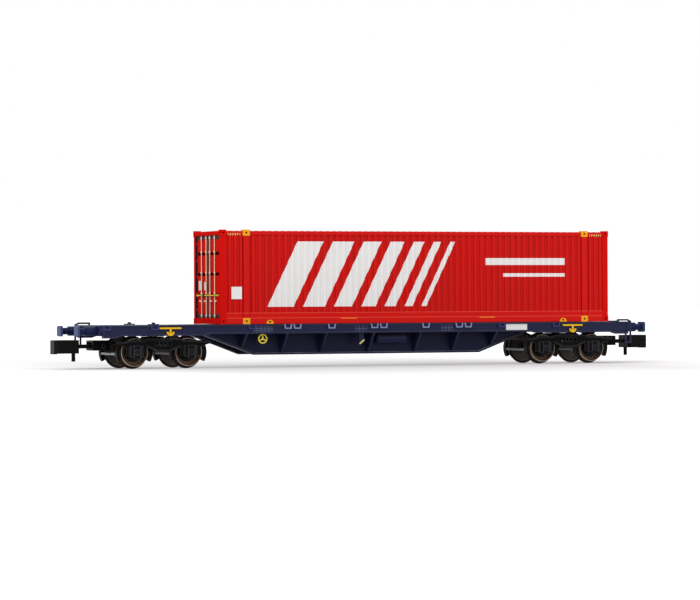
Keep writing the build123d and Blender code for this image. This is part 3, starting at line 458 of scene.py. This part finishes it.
blackFinish = dict(colour=bogieLook["black"], rough=0.42, dust=0.05, tone=0.25, specular=0.05, wear=0.4)
dress(newMaterial("bogieBlack", paint=paintBogie, **blackFinish), "bogie_frame", "coupler_pocket")
dress(newMaterial("brakeBlack", paint=paintBrake, **blackFinish), "brake_gear")
couplerBlack = newMaterial(
    "couplerBlack", linear(12, 11, 13), rough=0.38, dust=0.03, tone=0.2, specular=0.06, wear=0.3)
dress(couplerBlack, "coupler_left", "coupler_right")
dress(newMaterial("pinSteel", linear(150, 150, 152), rough=0.35, metallic=1.0), "pivot_pin")
wheelMetal = newMaterial(
    "wheelMetal", wheelLook["face"], rough=0.38, metallic=0.25, tone=0.2, paint=paintWheel)
dress(wheelMetal, "wheels")
dress(newMaterial("axleMetal", linear(60, 60, 62), rough=0.4, metallic=1.0), "axle_")
print("bogies dressed")

# container: painted shade in the castings' holes and on the grooves, painted shadow lines beside the lifting
# posts, painted highlights on the bottom rail and lock bars, and a plain white design on the sides
containerRed = linear(213, 22, 18)
holeLook = dict(radius=0.2, rise=0.6, side=0.65, end=0.5, colour=linear(38, 20, 14))


def holeRows(tree, z):  # height from the nearer row of holes
    return calc(tree, "SUBTRACT", folded(tree, z, boxMiddle.z), boxHalf.z - holeLook["rise"])


def paintRing(tree, paint):
    x, y, z = spotOf(tree)
    up = holeRows(tree, z)
    sideOff = calc(tree, "SUBTRACT", folded(tree, x, boxMiddle.x), boxHalf.x - holeLook["side"])
    endOff = calc(tree, "SUBTRACT", folded(tree, y, 0.0), boxHigh.y - holeLook["end"])
    # painted shade: dark discs in the corner castings' holes
    holes = [calc(tree, "LESS_THAN", reach(tree, off, up), holeLook["radius"]) for off in (sideOff, endOff)]
    return blendColour(tree, either(tree, *holes), paint, holeLook["colour"])


liftLook = dict(half=0.75, yellow=linear(247, 168, 18))  # half of a lifting casting's width
liftLow, liftHigh = boxOf("lift_castings")
liftOut = (liftHigh.x - liftLow.x) / 2 - liftLook["half"]  # from the container's middle to a casting's


def paintLift(tree, paint):
    x, y, z = spotOf(tree)
    off = calc(tree, "SUBTRACT", folded(tree, x, boxMiddle.x), liftOut)
    # painted shade: dark discs in the lifting castings' holes
    hole = calc(tree, "LESS_THAN", reach(tree, off, holeRows(tree, z)), holeLook["radius"])
    return blendColour(tree, hole, paint, holeLook["colour"])


doorLook = dict(inset=0.45, sunk=0.03, red=linear(214, 26, 21), shade=linear(70, 10, 9))
doorFace = boxLow.x + doorLook["inset"]


def paintDoor(tree, paint):  # painted shade: dark in the grooves
    x, y, z = spotOf(tree)
    sunk = calc(tree, "GREATER_THAN", x, doorFace + doorLook["sunk"])
    return blendColour(tree, sunk, paint, doorLook["shade"])


sideArt = dict(
    firstBar=7.0, barGap=2.0, barWidths=(5.6, 4.7, 3.9, 3.1, 2.4, 1.7, 1.1), slant=0.5, foot=3.4, head=16.4,
    stripes=((56.5, 74.5, 11.7, 13.1), (60.5, 74.5, 9.3, 10.0)),  # from, to along the side, from, to up it
    white=linear(243, 242, 240), whiteShade=linear(150, 150, 155), thin=0.03)
sideMarks = dict(
    pockets=((-17.2, -13.7), (13.4, 16.9)), pocketRise=(0.95, 1.25), pocketColour=linear(240, 122, 40),
    dashFrom=38.6, dashTo=41.2, dashStep=0.52, dashWidth=0.24, dashRise=(17.55, 18.0),
    dashColour=linear(236, 200, 120),
    seams=(1.2, 2.2), seamHalf=0.05, seamColour=linear(236, 92, 70), seamShow=0.85,
    crestInset=0.18, grooveDepth=0.18, grooveShade=linear(140, 11, 8), floorShow=0.1, wallShow=0.6,
    wall=(0.1, 0.9), whiteShow=0.25, postEdge=(0.6, 0.8), edgeShow=0.75,
    lashing=(4.95, 0.43, 0.24))  # from a lifting casting, above the foot, radius of the hole behind
sideCrest = boxHigh.y - sideMarks["crestInset"]


def paintSide(tree, paint):
    x, y, z = spotOf(tree)
    along = calc(tree, "SUBTRACT", x, sideLow.x)
    up = calc(tree, "SUBTRACT", z, boxLow.z)
    out = folded(tree, x, boxMiddle.x)
    m, a = sideMarks, sideArt
    depth = calc(tree, "DIVIDE", calc(tree, "SUBTRACT", sideCrest, folded(tree, y, 0.0)), m["grooveDepth"])
    walls = both(tree, within(tree, depth, *m["wall"]), m["wallShow"])
    floors = both(tree, within(tree, depth, m["wall"][1], 2 - m["wall"][1]), m["floorShow"])
    shade = either(tree, walls, floors)  # painted shade: dark on the grooves' walls, faint on their floors
    base = blendColour(tree, shade, paint, m["grooveShade"])
    # painted shadow: dark lines along both edges of each lifting post
    edges = within(tree, folded(tree, out, liftOut), *m["postEdge"])
    base = blendColour(tree, both(tree, edges, m["edgeShow"]), base, m["grooveShade"])
    leaned = calc(tree, "SUBTRACT", along, both(tree, up, a["slant"]))
    bars, left = [], a["firstBar"]
    for width in a["barWidths"]:
        bars.append(within(tree, leaned, left, left + width))
        left += width + a["barGap"]
    design = [both(tree, either(tree, *bars), within(tree, up, a["foot"], a["head"]))]
    for start, end, low, high in a["stripes"]:
        design.append(both(tree, within(tree, along, start, end), within(tree, up, low, high)))
    # painted shade: the white design darkens with the grooves too
    white = blendColour(tree, both(tree, shade, m["whiteShow"]), a["white"], a["whiteShade"])
    base = ink(tree, base, white, either(tree, *design), a["thin"])
    offset = calc(tree, "SUBTRACT", x, boxMiddle.x)
    pockets = either(tree, *[within(tree, offset, low, high) for low, high in m["pockets"]])
    base = ink(tree, base, m["pocketColour"], both(tree, pockets, within(tree, up, *m["pocketRise"])))
    step = calc(tree, "FRACT", calc(tree, "DIVIDE", out, m["dashStep"]))
    dashes = both(tree, calc(tree, "LESS_THAN", step, m["dashWidth"] / m["dashStep"]),
                  both(tree, within(tree, out, m["dashFrom"], m["dashTo"]), within(tree, up, *m["dashRise"])))
    base = ink(tree, base, m["dashColour"], dashes)
    # painted shade: a dark disc where the lashing hole sits behind the side
    inward, rise, radius = m["lashing"]
    behind = reach(tree, calc(tree, "SUBTRACT", out, liftOut - inward), calc(tree, "SUBTRACT", up, rise))
    base = blendColour(tree, calc(tree, "LESS_THAN", behind, radius), base, holeLook["colour"])
    # painted highlight: thin pale lines along the bottom rail's top edges
    seams = either(tree, *[within(tree, up, s - m["seamHalf"], s + m["seamHalf"]) for s in m["seams"]])
    return blendColour(tree, both(tree, seams, m["seamShow"]), base, m["seamColour"])


lockBarLook = dict(front=0.12, pale=linear(250, 218, 186), flank=linear(150, 18, 14))
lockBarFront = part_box("container_lock_bars")[0].x / mm


def paintLockBar(tree, paint):  # painted highlight: pale along the front; painted shade: dark red behind
    x, y, z = spotOf(tree)
    flank = calc(tree, "GREATER_THAN", x, lockBarFront + lockBarLook["front"])
    return blendColour(tree, flank, paint, lockBarLook["flank"])


redFinish = dict(rough=0.36, tone=0.05, dust=0.04, specular=0.06)
endFinish = dict(redFinish, specular=0.0)
dress(newMaterial("containerRed", containerRed, **redFinish),
      "container_roof", "container_floor", "container_front")
dress(newMaterial("ringRed", containerRed, paint=paintRing, **endFinish),
      "container_door_frame", "container_front_frame")
dress(newMaterial("doorRed", doorLook["red"], paint=paintDoor, **endFinish),
      "container_door_near", "container_door_far")
dress(newMaterial("sideRed", containerRed, paint=paintSide, **redFinish), "container_side")
dress(newMaterial("castingYellow", liftLook["yellow"], rough=0.45, paint=paintLift), "lift_castings")
dress(newMaterial("lockBarPale", lockBarLook["pale"], rough=0.45, paint=paintLockBar), "container_lock_bars")
print("container dressed")

# modelling helpers
bevelSteps = 2
smoothAngle = 35
facing = 0.99  # a face looks a given way from this cosine on


def onlySelect(piece):
    bpy.ops.object.select_all(action="DESELECT")
    piece.select_set(True)
    bpy.context.view_layer.objects.active = piece


def settle(name):  # names the new primitive and puts its place into its mesh
    piece = bpy.context.object
    piece.name = name
    bpy.ops.object.transform_apply(location=True, rotation=True, scale=True)
    return piece


def pickFaces(piece, test):  # leaves edit mode on, with only the faces that pass
    onlySelect(piece)
    bpy.context.tool_settings.mesh_select_mode = (False, False, True)
    bpy.ops.object.mode_set(mode="EDIT")
    bpy.ops.mesh.select_all(action="DESELECT")
    bpy.ops.object.mode_set(mode="OBJECT")
    for face in piece.data.polygons:
        face.select = test(face)
    bpy.ops.object.mode_set(mode="EDIT")


def isCap(face):  # a rod's round end
    return len(face.vertices) > 4


def addBlock(name, low, high, edge):  # block with rounded edges
    bpy.ops.object.select_all(action="DESELECT")
    bpy.ops.mesh.primitive_cube_add(size=1, location=[(a + b) / 2 * mm for a, b in zip(low, high)],
                                    scale=[(b - a) * mm for a, b in zip(low, high)])
    piece = settle(name)
    bpy.ops.object.mode_set(mode="EDIT")
    bpy.ops.mesh.select_all(action="SELECT")
    bpy.ops.mesh.bevel(offset=edge * mm, segments=bevelSteps)
    bpy.ops.object.mode_set(mode="OBJECT")
    return piece


def addPlate(name, low, high, outward, edge, rim, sink):  # blank plate with a raised rim
    piece = addBlock(name, low, high, edge)
    pickFaces(piece, lambda face: face.normal.dot(Vector(outward)) > facing)
    bpy.ops.mesh.inset(thickness=rim * mm)
    bpy.ops.mesh.inset(thickness=sink * mm, depth=-sink * mm)
    bpy.ops.object.mode_set(mode="OBJECT")
    return piece


def addRod(name, start, end, radius, edge, sides=16):  # round bar with rounded ends
    start, end = Vector(start), Vector(end)
    bpy.ops.object.select_all(action="DESELECT")
    bpy.ops.mesh.primitive_cylinder_add(vertices=sides, radius=radius * mm, depth=(end - start).length * mm,
                                        location=(start + end) / 2 * mm,
                                        rotation=(end - start).to_track_quat("Z", "Y").to_euler())
    piece = settle(name)
    pickFaces(piece, isCap)
    bpy.ops.mesh.bevel(offset=edge * mm, segments=bevelSteps)
    bpy.ops.object.mode_set(mode="OBJECT")
    return piece


def joinPieces(name, parts):
    bpy.ops.object.select_all(action="DESELECT")
    for part in parts:
        part.select_set(True)
    bpy.context.view_layer.objects.active = parts[0]
    bpy.ops.object.join()
    parts[0].name = name
    return parts[0]


def finishPiece(piece, material, body):
    onlySelect(piece)
    bpy.ops.object.shade_smooth_by_angle(angle=math.radians(smoothAngle))
    piece.data.materials.clear()
    piece.data.materials.append(material)
    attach(piece, body)


# door gaskets and painted shadow: a dark gasket strip down the middle, and dark strips standing in for shade
# round each leaf and on the posts' inner faces
gasket = dict(
    proud=0.05, deep=0.1, middle=0.62, edge=0.55, top=0.8, bottom=0.75, round=0.015,
    lining=0.05, postGap=0.06, postInset=0.1, bite=0.02, colour=linear(48, 22, 22))
gasketBlack = newMaterial(
    "gasketBlack", gasket["colour"], rough=0.6, tone=0.3, grain=3000.0, bump=0.15, specular=0.2)


def buildGaskets(g):
    front, back = doorFace - g["proud"], doorFace + g["deep"]
    foot, head = doorLow.z, doorHigh.z
    postFace = doorHigh.y + g["postGap"]
    strips = [((front, -g["middle"] / 2, foot), (back, g["middle"] / 2, head))]
    for sign in (-1, 1):
        y0, y1 = sorted((sign * (doorHigh.y - g["edge"]), sign * doorHigh.y))
        strips.append(((front, y0, foot), (back, y1, head)))
        y0, y1 = sorted((sign * (postFace - g["lining"]), sign * (postFace + g["bite"])))
        strips.append(((boxLow.x + g["postInset"], y0, foot), (back, y1, head)))
        y0, y1 = sorted((sign * g["middle"] / 2, sign * (doorHigh.y - g["edge"])))
        strips.append(((front, y0, head - g["top"]), (back, y1, head)))
        strips.append(((front, y0, foot), (back, y1, foot + g["bottom"])))
    parts = [addBlock(f"gasketStrip{i}", low, high, g["round"]) for i, (low, high) in enumerate(strips)]
    finishPiece(joinPieces("doorGaskets", parts), gasketBlack, "wagon")


buildGaskets(gasket)
print("gaskets added")

# seal bar across the doors, with a bracket at each end and a round lock
sealBar = dict(  # standOff and endRound are shares of the bar's radius
    rise=5.72, yFrom=-6.2, yTo=6.0, radius=0.13, standOff=0.8, endRound=1 / 3,
    bracket=0.4, bracketDeep=0.05, bracketEdge=0.04, colour=linear(240, 186, 40))
sealLock = dict(y=1.75, radius=0.36, length=0.2, edge=0.05, sides=24, rim=0.1, wall=0.03, sink=0.05,
                colour=linear(70, 66, 30))
sealYellow = newMaterial("sealYellow", sealBar["colour"], rough=0.45)
lockGreen = newMaterial("lockGreen", sealLock["colour"], rough=0.5, tone=0.2)


def buildSealBar(s, k):
    radius, half = s["radius"], s["bracket"] / 2
    x = lockBarFront - radius * s["standOff"]
    z = boxLow.z + s["rise"]
    parts = [addRod("sealRod", (x, s["yFrom"], z), (x, s["yTo"], z), radius, radius * s["endRound"])]
    for y in (s["yFrom"] + s["bracket"], s["yTo"] - s["bracket"]):
        low, high = (x - radius, y - half, z - half), (doorFace + s["bracketDeep"], y + half, z + half)
        parts.append(addBlock("sealBracket", low, high, s["bracketEdge"]))
    finishPiece(joinPieces("sealBar", parts), sealYellow, "wagon")
    lock = addRod("sealLock", (x - radius - k["length"], k["y"], z), (x + radius, k["y"], z),
                  k["radius"], k["edge"], k["sides"])
    pickFaces(lock, lambda face: face.normal.x < -facing and isCap(face))
    bpy.ops.mesh.inset(thickness=k["rim"] * mm)
    bpy.ops.mesh.inset(thickness=k["wall"] * mm, depth=-k["sink"] * mm)
    bpy.ops.object.mode_set(mode="OBJECT")
    finishPiece(lock, lockGreen, "wagon")


buildSealBar(sealBar, sealLock)
print("seal bar added")

# blank plates: two on the far door leaf, one on the side, one on the sill
plates = dict(
    thick=0.08, bite=0.02, edge=0.03, rim=0.06, sink=0.02,
    door=((4.15, 5.75, 6.75, 8.65), (1.45, 2.55, 6.75, 8.4)),  # from, to along Y, from, to above the foot
    side=(-40.5, -38.3, 4.95, 7.4),  # from, to along X, from, to above the foot
    sill=(29.3, 34.1, 6.9, 8.28), sillRecess=0.25,
    white=linear(240, 239, 236), grey=linear(214, 212, 208))
plateWhite = newMaterial("plateWhite", plates["white"], rough=0.4, tone=0.04)
plateGrey = newMaterial("plateGrey", plates["grey"], rough=0.4, tone=0.06)


def buildPlates(p):
    def lay(name, material, low, high, outward):
        plate = addPlate(name, low, high, outward, p["edge"], p["rim"], p["sink"])
        finishPiece(plate, material, "wagon")

    foot, middle = boxLow.z, boxMiddle.x
    for i, (y0, y1, low, high) in enumerate(p["door"]):
        lay(f"doorPlate{i + 1}", plateGrey, (doorFace - p["thick"], y0, foot + low),
            (doorFace + p["bite"], y1, foot + high), (-1, 0, 0))
    x0, x1, low, high = p["side"]
    lay("sidePlate", plateWhite, (middle + x0, -sideCrest - p["thick"], foot + low),
        (middle + x1, -sideCrest + p["bite"], foot + high), (0, -1, 0))
    x0, x1, low, high = p["sill"]
    recess = sillLow.y + p["sillRecess"]
    lay("sillPlate", plateWhite, (x0, recess - p["thick"], low), (x1, recess + p["bite"], high), (0, -1, 0))


buildPlates(plates)
print("plates added")
